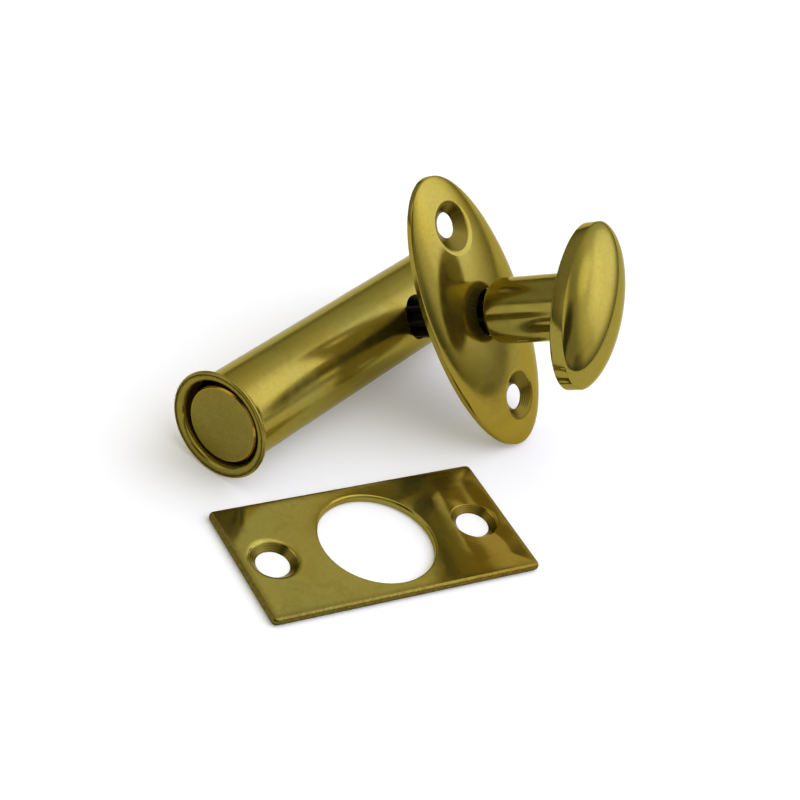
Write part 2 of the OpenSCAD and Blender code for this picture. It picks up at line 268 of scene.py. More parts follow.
def rings_mesh(name, rings, sharp_angle=None):
    """Closed mesh through rings of points, each end closed by a fan onto its middle."""
    count = len(rings[0])
    points = [p for ring in rings for p in ring]
    numbers = [range(k * count, (k + 1) * count) for k in range(len(rings))]
    faces = []
    for first, second in zip(numbers, numbers[1:]):
        faces += band(first, second)
    for end in (numbers[0], numbers[-1]):
        points.append(sum((Vector(points[i]) for i in end), Vector()) / count)
        faces += [(end[k], end[(k + 1) % count], len(points) - 1) for k in range(count)]
    return mesh_of(name, points, faces, sharp_angle)


def object_of(mesh, material, body=None, replaces=()):
    """Object of a mesh and a material. With a body it is a piece, which may replace some of the solids."""
    thing = bpy.data.objects.new(mesh.name, mesh)
    bpy.context.scene.collection.objects.link(thing)
    mesh.materials.append(material)
    if body:
        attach(thing, body)
        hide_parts(*replaces)
    return thing


def cut(mesh, cutters, solver="MANIFOLD"):
    """Takes the cutters out of the mesh. Each face keeps the smooth normals of the shape it came from."""
    body = bpy.data.objects.new("body", mesh)
    bpy.context.scene.collection.objects.link(body)
    tools = []
    for cutter in cutters:
        tool = bpy.data.objects.new("tool", cutter)
        bpy.context.scene.collection.objects.link(tool)
        modifier = body.modifiers.new("cut", "BOOLEAN")
        modifier.object = tool
        modifier.solver = solver
        tools.append(tool)
    graph = bpy.context.evaluated_depsgraph_get()
    result = bpy.data.meshes.new_from_object(body.evaluated_get(graph))
    result.name = mesh.name + "_cut"
    for thing in tools + [body]:
        bpy.data.objects.remove(thing)
    result.shade_smooth()
    result.materials.clear()
    result.polygons.foreach_set("material_index", [0] * len(result.polygons))
    copy_normals(result, [(mesh, 1)] + [(cutter, -1) for cutter in cutters])
    return result


def copy_normals(mesh, sources, inwards=0.02):
    """Sets the mesh's corner normals from the nearest source shape, looked up a little inside each face."""
    trees = []
    for source, sign in sources:
        source.calc_loop_triangles()
        triangles = source.loop_triangles
        places = [v.co.copy() for v in source.vertices]
        corners = [sign * c.vector for c in source.corner_normals]
        tree = BVHTree.FromPolygons(places, [t.vertices[:] for t in triangles])
        trees.append((tree, places, corners, [(t.vertices[:], t.loops[:]) for t in triangles]))
    normals = [UP] * len(mesh.loops)
    for face in mesh.polygons:
        tree, places, corners, triangles = min(trees, key=lambda t: t[0].find_nearest(face.center)[3])
        for loop in face.loop_indices:
            place = mesh.vertices[mesh.loops[loop].vertex_index].co
            index = tree.find_nearest(place.lerp(face.center, inwards))[2]
            vertices, loops = triangles[index]
            normal = barycentric_transform(
                place, *[places[v] for v in vertices], *[corners[n] for n in loops]
            )
            normals[loop] = normal.normalized()
    mesh.normals_split_custom_set(normals)


def mark(mesh, name, value_of):
    """Keeps a number for each point, which the materials read."""
    marks = mesh.attributes.new(name, "FLOAT", "POINT")
    for vertex, slot in zip(mesh.vertices, marks.data):
        slot.value = value_of(vertex.co)


def mark_faces(mesh, name, is_meant, value_of):
    """Keeps a number for each corner of the faces that are meant, and 0 on all others."""
    marks = mesh.attributes.new(name, "FLOAT", "CORNER")
    for face in mesh.polygons:
        if is_meant(face.center, face.normal):
            for loop in face.loop_indices:
                marks.data[loop].value = value_of(mesh.vertices[mesh.loops[loop].vertex_index].co)


# Knob, rose and collar

def knob_mesh():
    """Oval knob: flat back rounded into an upright side, soft crease and bowed face."""
    foot_q, foot_h = 0.93, 0.5
    outline = [(q, 0) for q in (0.3, 0.6, 0.915, 0.925)]
    outline += [(foot_q + (1 - foot_q) * x, foot_h + foot_h * y) for x, y in arc((0, 0), 1, -90, 0, 10)]
    outline += creased_face(KNOB_SIDE, KNOB_DOME, KNOB_BOW, crease_q=0.988, steps=40)
    rings = oval_rings(outline, KNOB_HALF_W, KNOB_HALF_L, count=256)
    return rings_mesh("knob_face", moved(rings, on_spindle(KNOB_X, KNOB_TURN)))


def rose_mesh():
    """Domed oval rose, hollow behind, with a lipped middle hole and two countersunk screw holes."""
    place = on_spindle(ROSE_X, ROSE_TURN)
    # Close rings round the back's edge keep the side's shading apart from the back's
    outline = [(q, 0) for q in (0.3, 0.6, 0.97, 1)] + [(1, 0.04), (1, 0.08)]
    outline += creased_face(ROSE_EDGE, ROSE_H - ROSE_EDGE, ROSE_BOW, crease_q=0.978, steps=44)
    plate = oval_rings(outline, ROSE_HALF_W, ROSE_HALF_L, count=224)
    body = rings_mesh("rose_plate", moved(plate, place), sharp_angle=40)

    hollow = [(1, -PAST), (1, 0)] + bowed_face(0, ROSE_H - ROSE_WALL, ROSE_BOW, edge_q=1, steps=24)
    hollow = oval_rings(hollow, ROSE_HALF_W - ROSE_RIM, ROSE_HALF_L - ROSE_RIM, count=160)
    lip, lip_z = 0.4, ROSE_H - 0.5
    hole = [(ROSE_HOLE_R, -PAST), (ROSE_HOLE_R, lip_z)]
    hole += arc((ROSE_HOLE_R + lip, lip_z), lip, 180, 100, 6)
    hole.append((ROSE_HOLE_R + lip, ROSE_H + 2 * PAST))
    cutters = [
        rings_mesh("hollow", moved(hollow, place), sharp_angle=40),
        rings_mesh("hole", moved(lathe_rings(hole, count=96), place), sharp_angle=30),
    ]
    screws = (-ROSE_SCREW_Z, ROSE_SCREW_Z)
    cutters += [rings_mesh("sink", moved(rose_sink_rings(y), place), sharp_angle=30) for y in screws]
    mesh = cut(body, cutters)
    mark_rose(mesh, [place @ Vector((0, y, 0)) for y in screws])
    return mesh


def mark_rose(mesh, screws):
    """Marks the countersinks with the distance from their axes, and the rose's back, which gets painted
    light.
    """

    def gap(point):
        return min((point - screw).cross(SPINDLE_WAY).length for screw in screws)

    def in_sink(point, normal):
        return normal.dot(SPINDLE_WAY) > FRONT_SHARE and gap(point) < ROSE_TURNED_R * MM

    mark_faces(mesh, "ring", in_sink, gap)
    mark_faces(mesh, "back", lambda point, normal: normal.dot(SPINDLE_WAY) < BACK_SHARE, lambda point: 1)


def rose_height(x, y):
    """Height of the rose's dome over its back."""
    q = min(0.999, math.hypot(x / ROSE_HALF_W, y / ROSE_HALF_L))
    return ROSE_EDGE + (ROSE_H - ROSE_EDGE) * bow(q, ROSE_BOW)[0]


def rose_sink_column(middle, t):
    """Points up a countersink at an angle round it. Its lip rolls over from the cone onto the dome."""
    depth, slope = 1.75, 0.72
    roll, flare = 0.45, 0.25
    foot = rose_height(0, middle) - depth

    def dome(r):
        return rose_height(r * math.cos(t), middle + r * math.sin(t))

    def cone(r):
        return foot + (r - ROSE_SCREW_R) * slope

    # Halved down to the radius at which the cone meets the dome
    low, high, halvings = ROSE_SCREW_R, 8.0, 40
    for _ in range(halvings):
        meet = (low + high) / 2
        if cone(meet) < dome(meet):
            low = meet
        else:
            high = meet
    inner = (meet - roll, cone(meet - roll))
    outer = (meet + roll, dome(meet + roll))
    profile = [(ROSE_SCREW_R, -PAST), (ROSE_SCREW_R, foot)]
    profile += bezier(inner, (meet, dome(meet)), outer, 7)
    profile.append((outer[0] + flare, outer[1] + 2 * PAST))
    return [(r * math.cos(t), middle + r * math.sin(t), z) for r, z in profile]


def rose_sink_rings(middle, count=96):
    """Rings of a countersink whose lip follows the dome all the way round."""
    columns = [rose_sink_column(middle, 2 * math.pi * i / count) for i in range(count)]
    return [list(ring) for ring in zip(*columns)]


def shade_collar_mesh():
    """Thin dark collar on the spindle, in the hollow of the rose, which closes the gaps between its teeth
    and stands in for the shade seen through them.
    """
    inner_r, outer_r, thick, bevel = 1, 4.1, 1.1, 0.2
    outline = [(inner_r, 0), (outer_r - bevel, 0), (outer_r, bevel)]
    outline += [(outer_r, thick - bevel), (outer_r - bevel, thick), (inner_r, thick)]
    rings = moved(lathe_rings(outline, count=64), on_spindle(SHADE_COLLAR_X))
    return rings_mesh("shade_collar", rings, sharp_angle=30)


# Strike plate

def strike_inset(x, y):
    """Distance from the nearest edge of the strike."""
    return min(STRIKE_L / 2 - abs(x), STRIKE_W / 2 - abs(y))


def strike_screw_gap(x, y):
    """Distance from the middle of the nearer screw hole."""
    return math.hypot(abs(x) - STRIKE_SCREW_X, y)


def bent_share(x, y):
    """Share of the bent right end, past a slanting line beside its screw hole."""
    return clamped((x - BEND_X - BEND_SLANT * y) / BEND_RUN)


def dents(x, y, span, layer):
    """Smooth noise between 0 and 2 with dents about a span wide."""
    return 1 + noise.noise(Vector((x / span, y / span, layer)))


def strike_wave(x, y):
    """Height over the flat face, 0 or less: broad dents, close ones round the screws, more where bent."""
    fade = clamped((strike_inset(x, y) - FLAT_EDGE) / FLAT_EDGE_FADE)
    near = max(0, 1 - (strike_screw_gap(x, y) - STRIKE_SINK_R) / SCREW_DENT_REACH)
    gain = 1 + BEND_GAIN * bent_share(x, y)
    broad = DENT_DEPTH * dents(x, y, DENT_SPAN, DENT_LAYER)
    close = SCREW_DENT_DEPTH * near * dents(x, y, SCREW_DENT_SPAN, SCREW_DENT_LAYER)
    return -fade * (broad * gain + close * gain)


def strike_point(i, j, inset):
    """Place of a grid point on the plate drawn in by an inset, with its corners rounded."""
    half_l, half_w, r = STRIKE_L / 2 - inset, STRIKE_W / 2 - inset, STRIKE_CORNER - inset
    x, y = (2 * i / STRIKE_COLUMNS - 1) * half_l, (2 * j / STRIKE_ROWS - 1) * half_w
    over_x, over_y = abs(x) - (half_l - r), abs(y) - (half_w - r)
    if over_x > 0 and over_y > 0 and math.hypot(over_x, over_y) > r:
        share = r / math.hypot(over_x, over_y)
        x = math.copysign(half_l - r + over_x * share, x)
        y = math.copysign(half_w - r + over_y * share, y)
    return x, y


def strike_body():
    """Plate without its holes: a waved face, soft upper edges and a rounded lower edge."""
    columns, rows = STRIKE_COLUMNS, STRIKE_ROWS
    points = []
    for j in range(rows + 1):
        for i in range(columns + 1):
            x, y = strike_point(i, j, STRIKE_EDGE)
            points.append((x, y, STRIKE_T + strike_wave(x, y)))
    lines = [range(j * (columns + 1), (j + 1) * (columns + 1)) for j in range(rows + 1)]
    faces = [
        (line[i], line[i + 1], after[i + 1], after[i])
        for line, after in zip(lines, lines[1:]) for i in range(columns)
    ]
    border = [(i, 0) for i in range(columns)] + [(columns, j) for j in range(rows)]
    border += [(i, rows) for i in range(columns, 0, -1)] + [(0, j) for j in range(rows, 0, -1)]
    turns = [math.radians(a) for a in range(10, 91, 10)]
    rounded = [(STRIKE_EDGE * (1 - math.sin(t)), STRIKE_T - STRIKE_EDGE * (1 - math.cos(t))) for t in turns]
    last = [lines[j][i] for i, j in border]
    for inset, z in rounded + LOWER_EDGE:
        ring = range(len(points), len(points) + len(border))
        points += [(*strike_point(i, j, inset), z) for i, j in border]
        faces += band(last, ring)
        last = ring
    faces.append(tuple(last))
    return mesh_of("strike_face", [STRIKE_AXES @ Vector(p) for p in points], faces, sharp_angle=40)


def strike_cutters():
    """The large hole, rounded above and chamfered below, and a dished hole for each screw."""
    lip, chamfer, chamfer_h = 0.55, 0.25, 0.2
    hole = [(STRIKE_HOLE_R + chamfer, -PAST), (STRIKE_HOLE_R + chamfer, 0), (STRIKE_HOLE_R, chamfer_h)]
    hole += arc((STRIKE_HOLE_R + lip, STRIKE_T - lip), lip, 180, 92, 8)
    hole.append((STRIKE_HOLE_R + lip, STRIKE_T + PAST))

    # A low wall, a cone up to where its rings end, and a wide roll onto the face
    foot_r, roll = STRIKE_SCREW_R + 0.3, 0.8
    inner = (STRIKE_TURNED_R, 1.01)
    corner = (STRIKE_SINK_R - 0.3, STRIKE_T)
    outer = (STRIKE_SINK_R + roll, STRIKE_T - 0.03)
    dish = [(foot_r, -PAST), (foot_r, 0.08), (STRIKE_TURNED_R - 0.04, 0.97)]
    dish += bezier(inner, corner, outer, 16)
    dish.append((STRIKE_SINK_R + roll + 0.05, STRIKE_T + PAST))

    cutters = [rings_mesh("hole", moved(lathe_rings(hole, count=160), STRIKE_AXES), sharp_angle=30)]
    for x in (-STRIKE_SCREW_X, STRIKE_SCREW_X):
        place = STRIKE_AXES @ Matrix.Translation((x, 0, 0))
        cutters.append(rings_mesh("dish", moved(lathe_rings(dish, count=112), place), sharp_angle=30))
    return cutters


def mark_strike(mesh):
    """Marks the side for its painted shade, the bent end for its painted reflection, the outer edge, and
    the dishes with the distance from their axes.
    """
    back = STRIKE_AXES.inverted()

    def side(point):
        x, y, z = back @ point
        return clamped((SIDE_TOP - z) / SIDE_FADE) if strike_inset(x, y) < SIDE_INSET else 0

    def warm(point):
        x, y, _ = back @ point
        return bent_share(x, y)

    def edge(point):
        x, y, _ = back @ point
        return max(0, 1 - strike_inset(x, y) / DARK_EDGE)

    def gap(point):
        x, y, _ = back @ point
        return strike_screw_gap(x, y) * MM

    def in_dish(point, normal):
        return normal.z > FRONT_SHARE and gap(point) < STRIKE_TURNED_R * MM

    mark(mesh, "side", side)
    mark(mesh, "warm", warm)
    mark(mesh, "edge", edge)
    mark_faces(mesh, "ring", in_dish, gap)


def strike_mesh():
    """Strike plate: soft upper edges, a slight wave in its face, a lipped hole and two dished ones."""
    mesh = cut(strike_body(), strike_cutters())
    mark_strike(mesh)
    return mesh


# Barrel

def barrel_mesh():
    """The barrel's solid with a rolled mouth and a fine line turned near the rim's edge."""
    solid = nodes["barrel_tube"].data
    back = BOLT_AXES.inverted()
    face = min((back @ v.co).y for v in solid.vertices)
    # Bore, rolled mouth, face with its line, and the rim's edge, as radius against depth behind the face
    skim, line_depth, slant = 0.1, 0.19, 0.06
    outline = [(BORE_R - 0.2, 3.4), (MOUTH_R, 2.3)]
    outline += bezier((MOUTH_R, 1.25), (MOUTH_R + 0.06, 0.14), (RIM_FACE_R - 0.55, skim), 12)
    outline += [(LINE_INNER_R, skim), (LINE_INNER_R + slant, line_depth)]
    outline += [(LINE_OUTER_R - slant, line_depth), (LINE_OUTER_R, skim)]
    outline += [(RIM_FACE_R + 0.08, -0.05), (RIM_FACE_R + 0.1, -PAST)]
    axes = Matrix(((1, 0, 0, 0), (0, 0, 1, face), (0, 1, 0, 0), (0, 0, 0, 1)))
    rings = moved(lathe_rings(outline, count=192), BOLT_AXES @ axes)
    cutter = rings_mesh("mouth", rings, sharp_angle=25)
    whole = solid.copy()
    whole.name = "barrel_tube_face"
    mesh = cut(whole, [cutter], "EXACT")
    front, fade = 0.5, 0.3

    def rim(point):
        x, y, z = back @ point
        past_mouth = clamped((math.hypot(x, z) - MOUTH_R - 0.1) / fade)
        return past_mouth * clamped((face + front - y) / fade)

    def line(point):
        x, y, z = back @ point
        in_line = LINE_INNER_R - 0.01 < math.hypot(x, z) < LINE_OUTER_R + 0.01
        return 1.0 if in_line and y < face + front / 2 else 0.0

    # The rim mark darkens the rim face, partly tarnish and partly painted shade; the line mark is painted
    # shade in the turned line
    mark(mesh, "rim", rim)
    mark(mesh, "line", line)
    return mesh


# Node trees

# Sockets of a mix node in colour mode, whose names repeat
MIX_FACTOR = 0
MIX_A = 6
MIX_B = 7
MIX_RESULT = 2


class Nodes:
    """A node tree with short ways to add nodes. A value is a node, a socket, a number or a tuple."""

    def __init__(self, tree):
        self.tree = tree

    def feed(self, socket, value):
        """Links a value that is a node or a socket, and sets any other."""
        if isinstance(value, bpy.types.Node):
            value = value.outputs[MIX_RESULT if value.bl_idname == "ShaderNodeMix" else 0]
        if isinstance(value, bpy.types.NodeSocket):
            self.tree.links.new(value, socket)
        else:
            socket.default_value = value

    def add(self, kind, inputs=None, **settings):
        node = self.tree.nodes.new(kind)
        for key, value in settings.items():
            setattr(node, key, value)
        for key, value in (inputs or {}).items():
            self.feed(node.inputs[key], value)
        return node

    def math(self, operation, a, b=0):
        return self.add("ShaderNodeMath", {0: a, 1: b}, operation=operation)

    def vector_math(self, operation, a, b=(0, 0, 0)):
        return self.add("ShaderNodeVectorMath", {0: a, 1: tuple(b)}, operation=operation)

    def ramp(self, value, low, high, out_low=0, out_high=1, **settings):
        """The value's way from low to high, brought to other limits and held within them."""
        limits = {"From Min": low, "From Max": high, "To Min": out_low, "To Max": out_high}
        return self.add("ShaderNodeMapRange", {"Value": value, **limits}, **settings)

    def mix(self, factor, a, b):
        """The factor's way from one colour to another, each a node or a tuple."""
        node = self.add("ShaderNodeMix", {MIX_FACTOR: factor}, data_type="RGBA")
        for socket, colour in ((node.inputs[MIX_A], a), (node.inputs[MIX_B], b)):
            self.feed(socket, (*colour, 1) if isinstance(colour, tuple) else colour)
        return node

    def tinted(self, colour, other, mask, share):
        """The colour, with a share of another where the mask is 1."""
        return self.mix(self.math("MULTIPLY", mask, share), colour, other)

    def raised(self, value, mask, amount):
        """The value, higher by an amount where the mask is 1."""
        return self.math("ADD", value, self.math("MULTIPLY", mask, amount))


class Surface(Nodes):
    """A material's node tree with its shader, and the place in millimetres for its patterns."""

    def __init__(self, name, metallic, **fixed):
        self.material = bpy.data.materials.new(name)
        self.material.use_nodes = True
        super().__init__(self.material.node_tree)
        self.shader = self.tree.nodes["Principled BSDF"]
        self.shader.inputs["Metallic"].default_value = metallic
        if metallic:
            self.shader.inputs["Specular Tint"].default_value = EDGE_TINT
        for socket, value in fixed.items():
            self.shader.inputs[socket.replace("_", " ")].default_value = value
        coordinates = self.add("ShaderNodeTexCoord")
        scaled = {0: coordinates.outputs["Object"], "Scale": 1 / MM}
        self.place = self.add("ShaderNodeVectorMath", scaled, operation="SCALE")

    def along(self, way):
        """Distance in millimetres along a way."""
        return self.vector_math("DOT_PRODUCT", self.place, way).outputs["Value"]

    def radius(self, middle, way):
        """Distance in millimetres from an axis along a way, through a middle in metres."""
        from_middle = self.vector_math("SUBTRACT", self.place, middle / MM)
        across = self.vector_math("CROSS_PRODUCT", from_middle, way)
        return self.vector_math("LENGTH", across).outputs["Value"]

    def noise(self, per_mm, detail=3, roughness=0.5, distortion=0, stretch=(), shift=0):
        """Noise in 0 to 1, so many features a millimetre. Stretch holds ways and the shares along them."""
        place = self.place
        if stretch:
            parts = [self.along(Vector(way) * share) for way, share in stretch]
            place = self.add("ShaderNodeCombineXYZ", dict(zip("XYZ", parts)))
        if shift:
            place = self.vector_math("ADD", place, (shift, 1.7 * shift, -shift))
        inputs = {"Vector": place, "Scale": per_mm, "Detail": detail, "Roughness": roughness}
        return self.add("ShaderNodeTexNoise", {**inputs, "Distortion": distortion})

    def attribute(self, name):
        return self.add("ShaderNodeAttribute", attribute_name=name).outputs["Fac"]

    def bump(self, height, metres, normal=None):
        """Bump of a height in metres, on top of an earlier bump."""
        inputs = {"Height": height, "Distance": metres, "Strength": 1}
        if normal:
            inputs["Normal"] = normal
        return self.add("ShaderNodeBump", inputs)

    def finish(self, colour, roughness, normal):
        self.feed(self.shader.inputs["Base Color"], colour)
        self.feed(self.shader.inputs["Roughness"], roughness)
        self.feed(self.shader.inputs["Normal"], normal)
        return self.material


# Materials

EDGE_TINT = (0.75, 0.69, 0.45, 1)
BRASS = (0.283, 0.236, 0.042)
BRASS_WARM = (0.31, 0.208, 0.013)
BRASS_TARNISH = (0.14, 0.090, 0.010)
BRASS_DARK = (0.05, 0.030, 0.004)
REFLECTED_ORANGE = (0.30, 0.175, 0.012)
PAINTED_BACK_LIGHT = (0.52, 0.42, 0.13)
SINK_SHADE = (0.085, 0.058, 0.007)
SATIN = (0.225, 0.18, 0.032)
SATIN_BROWN = (0.165, 0.118, 0.017)
SATIN_GRAIN = (0.10, 0.075, 0.012)
SATIN_EDGE = (0.42, 0.25, 0.03)
BLACK = (0.011, 0.01, 0.009)
BLACK_RUBBED = (0.045, 0.036, 0.026)
STEEL = (0.36, 0.35, 0.33)
STEEL_PALE = (0.46, 0.45, 0.43)
FLOOR = (0.92, 0.912, 0.835)
FLOOR_PALE = (0.935, 0.927, 0.85)
FLOOR_LIFT = 0.14

# Shares of the tarnish colour, and how much duller patches, smudges, turned dishes and uneven spots are
SPECK_SHARE = 0.55
GRAIN_SHARE = 0.14
PATCH_DULLNESS = 0.06
SMUDGE_DULLNESS = 0.09
TURNED_DULLNESS = 0.1
UNEVEN_DULLNESS = 0.035

# Heights of the bumps in metres, and the pitch of the turned rings in millimetres
BROAD_WAVE = 6e-5
CLOSE_WAVE = 5e-6
POLISH_LINES = 4.5e-7
TURNED_RINGS = 9e-6
SAW_LINES = 1.6e-6
SATIN_WAVE = 4e-6
BLACK_WAVE = 1.2e-5
STEEL_WAVE = 2e-6
TURNED_PITCH = 0.3


def brass(name, ways, shift, rough, wave, tarnish, scratches, warmth=0.45, rings=0, colour_marks=()):
    """Polished brass with warm and tarnished patches, smudges, fine polishing lines and a slight wave.

    The lines run along the first of the ways. Rings is the share of painted shade in the turned dishes.
    Each of the marks is a mark's name, its colour, that colour's share and how much duller it is; several
    of these colours are painted shade, painted light and a painted reflection, as noted where they are
    given.
    """
    n = Surface(name, 0.88, Specular_IOR_Level=0.3)
    broad = n.ramp(n.noise(0.05, detail=2, shift=shift), 0.38, 0.66)
    patch = n.noise(0.16, detail=5, roughness=0.6, distortion=0.7, shift=shift + 9)
    patch = n.ramp(patch, 0.5, 0.78)
    speck = n.ramp(n.noise(1.4, detail=2, shift=shift + 21), 0.735, 0.79)
    grain = n.ramp(n.noise(1.7, detail=6, roughness=0.7, shift=shift + 27), 0.42, 0.62)
    smudge = n.noise(0.11, detail=4, roughness=0.65, distortion=1.2, shift=shift + 33)
    smudge = n.ramp(smudge, 0.45, 0.8)
    colour = n.tinted(BRASS, BRASS_WARM, broad, warmth)
    colour = n.tinted(colour, BRASS_TARNISH, patch, tarnish)
    colour = n.tinted(colour, BRASS_TARNISH, speck, SPECK_SHARE)
    colour = n.tinted(colour, BRASS_TARNISH, grain, GRAIN_SHARE)
    dull = n.ramp(n.noise(0.4, shift=shift + 5), 0.3, 0.7, rough, rough + UNEVEN_DULLNESS)
    dull = n.raised(dull, smudge, SMUDGE_DULLNESS)
    dull = n.raised(dull, patch, PATCH_DULLNESS)
    lines = n.noise(1.0, detail=4, roughness=0.6, stretch=tuple(zip(ways, (0.12, 7.0, 7.0))), shift=shift)
    normal = n.bump(n.noise(0.085, detail=2, roughness=0.4, shift=shift + 2), BROAD_WAVE * wave)
    normal = n.bump(n.noise(0.33, detail=2, shift=shift + 4), CLOSE_WAVE * wave, normal)
    normal = n.bump(lines, POLISH_LINES * scratches, normal)
    # Colours over marked places: several are painted shade, painted light and a painted reflection
    for mark_name, mark_colour, share, dullness in colour_marks:
        uneven = n.noise(2.2, detail=4, roughness=0.65, shift=shift + 50)
        mask = n.math("MULTIPLY", n.attribute(mark_name), n.ramp(uneven, 0.3, 0.62, 0.45, 1))
        colour = n.tinted(colour, mark_colour, mask, share)
        dull = n.raised(dull, mask, dullness)
    # Painted shade: the turned dishes are darkened in colour, and their rings are bumps
    if rings:
        radius = n.attribute("ring")
        inside = n.math("GREATER_THAN", radius, 0.1 * MM)
        turned = n.math("SINE", n.math("MULTIPLY", radius, 2 * math.pi / (TURNED_PITCH * MM)))
        colour = n.tinted(colour, SINK_SHADE, inside, rings)
        dull = n.raised(dull, inside, TURNED_DULLNESS)
        normal = n.bump(n.math("MULTIPLY", turned, inside), TURNED_RINGS, normal)
    return n.finish(colour, dull, normal)


def satin_brass(name, front_r=None):
    """Dull brass with saw lines and brown clouding. A radius gives the bolt's front a brighter edge."""
    n = Surface(name, 0.95)
    cloud = n.noise(0.13, detail=4, roughness=0.6, distortion=0.5, shift=3)
    grain = n.noise(2.4, detail=5, roughness=0.7, shift=31)
    stretch = ((SPINDLE_WAY, 0.5), (THIRD_WAY, 6.0), (BARREL_WAY, 0.5))
    lines = n.noise(1.0, roughness=0.6, stretch=stretch)
    colour = n.tinted(SATIN, SATIN_BROWN, n.ramp(cloud, 0.35, 0.75), 0.5)
    colour = n.tinted(colour, SATIN_GRAIN, n.ramp(grain, 0.45, 0.68), 0.35)
    dull = n.ramp(lines, 0.3, 0.7, 0.3, 0.42)
    if front_r:
        edge = front_edge(n, front_r)
        colour = n.tinted(colour, SATIN_EDGE, edge, 0.85)
        dull = n.raised(dull, edge, -0.15)
    normal = n.bump(lines, SAW_LINES)
    normal = n.bump(n.noise(0.6, shift=8), SATIN_WAVE, normal)
    return n.finish(colour, dull, normal)


def front_edge(n, front_r):
    """Mask of the outermost ring of the bolt's front face."""
    front = min(v.co.dot(BARREL_WAY) for v in nodes["bolt"].data.vertices) / MM
    near_front = n.math("LESS_THAN", n.along(BARREL_WAY), front + 0.3)
    middle = sum(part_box("bolt"), Vector()) / 2
    ring = n.ramp(n.radius(middle, BARREL_WAY), front_r - 0.42, front_r - 0.24)
    return n.math("MULTIPLY", ring, near_front)


def black_steel():
    """Blackened steel with rubbed, browner high spots."""
    n = Surface("black_steel", 0.75)
    rub = n.ramp(n.noise(0.7, detail=5, roughness=0.65, shift=14), 0.52, 0.75)
    colour = n.tinted(BLACK, BLACK_RUBBED, rub, 0.6)
    dull = n.ramp(n.noise(1.6, shift=2), 0.3, 0.7, 0.3, 0.5)
    return n.finish(colour, dull, n.bump(n.noise(2.6, detail=4, roughness=0.6), BLACK_WAVE))


def plain_steel():
    """Bright steel with a faint clouding."""
    n = Surface("plain_steel", 1.0)
    colour = n.mix(n.ramp(n.noise(0.9), 0.3, 0.7), STEEL, STEEL_PALE)
    dull = n.ramp(n.noise(3.0), 0.3, 0.7, 0.25, 0.4)
    return n.finish(colour, dull, n.bump(n.noise(5.0, detail=2), STEEL_WAVE))


def floor_material():
    """Matt near-white. What sees the floor, not what it lights, gets a little light of its own on top."""
    n = Surface("floor", 0.0, Roughness=0.9, Specular_IOR_Level=0.2)
    n.feed(n.shader.inputs["Base Color"], n.mix(n.noise(0.004), FLOOR, FLOOR_PALE))
    rays = n.add("ShaderNodeLightPath")
    seen = n.math("MAXIMUM", rays.outputs["Is Camera Ray"], rays.outputs["Is Glossy Ray"])
    seen = n.math("MAXIMUM", seen, rays.outputs["Is Transmission Ray"])
    n.shader.inputs["Emission Color"].default_value = (1, 1, 1, 1)
    n.feed(n.shader.inputs["Emission Strength"], n.math("MULTIPLY", seen, FLOOR_LIFT))
    return n.material


# The object

strike_brass = brass(
    "strike_brass", (LENGTH_WAY, WIDTH_WAY, UP), shift=3.0,
    rough=0.085, wave=0.6, tarnish=0.35, scratches=1.3, rings=0.75,
    colour_marks=(
        # Painted reflection: orange on the bent end stands in for the brass reflected there
        ("warm", REFLECTED_ORANGE, 0.6, 0.0),
        # Painted shade: the strike's lower side is darkened in colour
        ("side", BRASS_DARK, 0.85, 0.2),
        # Darker and duller towards the outer edge
        ("edge", BRASS_DARK, 0.8, 0.18),
    ),
)
rose_brass = brass(
    "rose_brass", (THIRD_WAY, BARREL_WAY, SPINDLE_WAY), shift=17.0,
    rough=0.105, wave=0.9, tarnish=0.25, scratches=0.9, warmth=0.8, rings=0.8,
    # Painted light: the rose's shaded back and hollow are given a lighter colour
    colour_marks=(("back", PAINTED_BACK_LIGHT, 0.8, 0.25),),
)
knob_brass = brass(
    "knob_brass", (THIRD_WAY, BARREL_WAY, SPINDLE_WAY), shift=41.0,
    rough=0.05, wave=0.35, tarnish=0.12, scratches=0.7, warmth=0.25,
)
shank_brass = brass(
    "shank_brass", (SPINDLE_WAY, BARREL_WAY, THIRD_WAY), shift=58.0,
    rough=0.09, wave=0.5, tarnish=0.3, scratches=0.9, warmth=1.0,
)
barrel_brass = brass(
    "barrel_brass", (BARREL_WAY, SPINDLE_WAY, THIRD_WAY), shift=73.0,
    rough=0.15, wave=0.28, tarnish=0.25, scratches=1.1,
    # Rim face: darker, partly tarnish and partly painted shade. Turned line: painted shade.
    colour_marks=(("rim", BRASS_DARK, 0.22, 0.16), ("line", BRASS_DARK, 0.8, 0.1)),
)
spindle_steel = black_steel()

for name, material in {
    "barrel_cap": satin_brass("cap_brass"),
    "bolt": satin_brass("bolt_brass", BOLT_R),
    "guide_pin": plain_steel(),
    "spindle": spindle_steel,
    "turn_shank": shank_brass,
}.items():
    nodes[name].data.materials.clear()
    nodes[name].data.materials.append(material)

object_of(barrel_mesh(), barrel_brass, "case", ["barrel_tube"])
object_of(knob_mesh(), knob_brass, "turn", ["turn_knob"])
object_of(shade_collar_mesh(), spindle_steel, "turn", [])
object_of(rose_mesh(), rose_brass, "case", ["rose"])
object_of(strike_mesh(), strike_brass, "case", ["strike_plate"])


# Floor, light and camera

FLOOR_REACH = 60
WORLD_GREY = 0.5
WORLD_TINT = (1.01, 1.0, 0.92)
KEY_TINT = (0.98, 1.0, 1.3)
